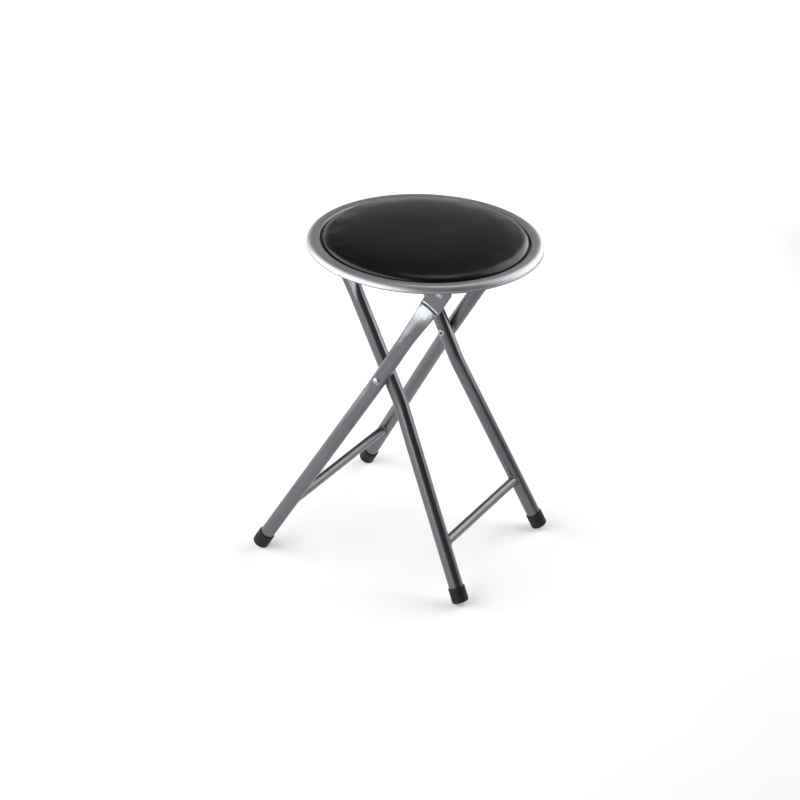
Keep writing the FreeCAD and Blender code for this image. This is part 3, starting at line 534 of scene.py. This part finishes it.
# Puckers: short furrows over the shoulder, deepest on the edge and uneven round the seat
pucker_places = [(math.tau * (number + random.uniform(-PUCKER_STRAY, PUCKER_STRAY)) / PUCKERS,
                  random.uniform(*PUCKER_STRENGTHS), random.uniform(*PUCKER_REACHES),
                  random.uniform(*PUCKER_TURNS)) for number in range(PUCKERS)]
for vert in pad.data.vertices:
    out = vert.co - SEAT_MIDDLE
    radius, turn = math.hypot(out.x, out.y), math.atan2(out.y, out.x)
    if radius < PAD_RADIUS * PUCKERED_FROM or vert.co.z < CREST - HELD_BELOW:
        continue
    for at, strength, reach, width in pucker_places:
        away = abs((turn - at + math.pi) % math.tau - math.pi)
        inward = max(0.0, PAD_RADIUS - radius) / reach
        if away < PUCKER_END * width and inward < PUCKER_END:
            vert.co.z -= PUCKER_DEPTH * strength * math.exp(-(away / width) ** 2 - inward ** 2)

smoother = pad.modifiers.new("smooth skin", "SUBSURF")
smoother.levels = smoother.render_levels = 1
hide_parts("seat_cover", "seat_foam")


# The stool stands on a plain floor of matt white paper, far wider than the picture, under wide soft
# lamps at the left, right and above.
FLOOR_SIZE = 30
floor_shape = bmesh.new()
bmesh.ops.create_grid(floor_shape, x_segments=1, y_segments=1, size=FLOOR_SIZE / 2)
floor_mesh = bpy.data.meshes.new("floor")
floor_shape.to_mesh(floor_mesh)
floor_shape.free()
floor = bpy.data.objects.new("floor", floor_mesh)
bpy.context.scene.collection.objects.link(floor)

# Matt white paper: seen directly or in a reflection it is lifted to the white of the background,
# more so behind the stool and far out, where less of the lamps' light falls
NEAR_LIFT, FAR_LIFT = 0.22, 0.95
BEHIND_FROM, BEHIND_TO = 0.3, 1.4
OUT_FROM, OUT_TO = 1.6, 3.0
paper, tree, shader, place = new_finish("matt white paper", Roughness=0.9, Specular_IOR_Level=0.1)
shader.inputs["Base Color"].default_value = linear("#F2F2F2")
shader.inputs["Emission Color"].default_value = linear("#FFFFFF")
rays = add_node(tree, "ShaderNodeLightPath")
seen = add_node(tree, "ShaderNodeMath", {0: rays.outputs["Is Camera Ray"], 1: rays.outputs["Is Glossy Ray"]},
                operation="MAXIMUM")
seen = add_node(tree, "ShaderNodeMath", {0: seen.outputs[0], 1: rays.outputs["Is Transmission Ray"]},
                operation="MAXIMUM")
behind = add_node(tree, "ShaderNodeVectorMath", {0: place, 1: (-back.x, -back.y, 0)}, operation="DOT_PRODUCT")
far_out = add_node(tree, "ShaderNodeVectorMath", {0: place}, operation="LENGTH")
lifts = [add_node(tree, "ShaderNodeMapRange",
                  {"Value": measure.outputs["Value"], "From Min": low, "From Max": high,
                   "To Min": NEAR_LIFT, "To Max": FAR_LIFT},
                  interpolation_type="SMOOTHSTEP").outputs["Result"]
         for measure, low, high in ((behind, BEHIND_FROM, BEHIND_TO), (far_out, OUT_FROM, OUT_TO))]
lift = add_node(tree, "ShaderNodeMath", {0: lifts[0], 1: lifts[1]}, operation="MAXIMUM")
lift = add_node(tree, "ShaderNodeMath", {0: seen.outputs[0], 1: lift.outputs[0]}, operation="MULTIPLY")
tree.links.new(lift.outputs[0], shader.inputs["Emission Strength"])
floor_mesh.materials.append(paper)

# The room is white round the horizon and dim overhead. On the right of the camera it is dark, which
# draws the dark band down the right side of the tubes.
BAND_TOP, DIM_FROM = math.sin(math.radians(6)), math.sin(math.radians(22))
DARK_AZIMUTH, DARK_ELEVATION = math.radians(68), math.radians(8)
DARK_EDGE, DARK_HEART = math.cos(math.radians(62)), math.cos(math.radians(46))
world = bpy.data.worlds.new("studio")
bpy.context.scene.world = world
world.use_nodes = True
tree = world.node_tree
sky = add_node(tree, "ShaderNodeTexCoord").outputs["Generated"]
above_horizon = add_node(tree, "ShaderNodeSeparateXYZ", {"Vector": sky}).outputs["Z"]
dome = add_node(tree, "ShaderNodeValToRGB", {"Fac": above_horizon})
dome.color_ramp.elements[0].position, dome.color_ramp.elements[0].color = BAND_TOP, linear("#FFFFFF")
dome.color_ramp.elements[1].position, dome.color_ramp.elements[1].color = DIM_FROM, linear("#38383A")
dark_way = (math.sin(DARK_AZIMUTH) * math.cos(DARK_ELEVATION),
            -math.cos(DARK_AZIMUTH) * math.cos(DARK_ELEVATION), math.sin(DARK_ELEVATION))
facing = add_node(tree, "ShaderNodeVectorMath", {0: sky, 1: dark_way}, operation="DOT_PRODUCT")
darkness = add_node(tree, "ShaderNodeMapRange", {"Value": facing.outputs["Value"], "From Min": DARK_EDGE,
                                                 "From Max": DARK_HEART}, interpolation_type="SMOOTHSTEP")
room = add_node(tree, "ShaderNodeMix", {"Factor": darkness.outputs["Result"], "A": dome.outputs["Color"],
                                        "B": linear("#2A2A2C")}, data_type="RGBA")
tree.links.new(room.outputs["Result"], tree.nodes["Background"].inputs["Color"])
tree.nodes["Background"].inputs["Strength"].default_value = 1.0


def lamp(name, width, height, watts, stand):
    """A soft lamp at a given place and turn. It shines along its own -Z, out of the camera's sight."""
    light = bpy.data.lights.new(name, "AREA")
    light.shape, light.size, light.size_y, light.energy = "RECTANGLE", width, height, watts
    fitting = bpy.data.objects.new(name, light)
    bpy.context.scene.collection.objects.link(fitting)
    fitting.matrix_world = stand
    fitting.visible_camera = False


def upright_lamp(name, azimuth, distance, low, high, width, watts):
    """A lamp that stands upright and faces the stool. Azimuth 0 is in front of it, and 90 to its right."""
    turn = math.radians(azimuth)
    out = Vector((math.sin(turn), -math.cos(turn), 0))
    stand = Matrix.Translation(out * distance + Vector((0, 0, (low + high) / 2)))
    lamp(name, width, high - low, watts, stand @ out.to_track_quat("Z", "Y").to_matrix().to_4x4())


upright_lamp("left softbox", -42, 1.15, 0.26, 1.6, 3.0, 39)
upright_lamp("right softbox", 146, 1.1, 0.38, 1.9, 1.6, 21)
lamp("overhead softbox", 0.5, 0.5, 2.2, Matrix.Translation((0.05, 0.28, 1.6)))

bpy.context.scene.view_settings.view_transform = "Standard"
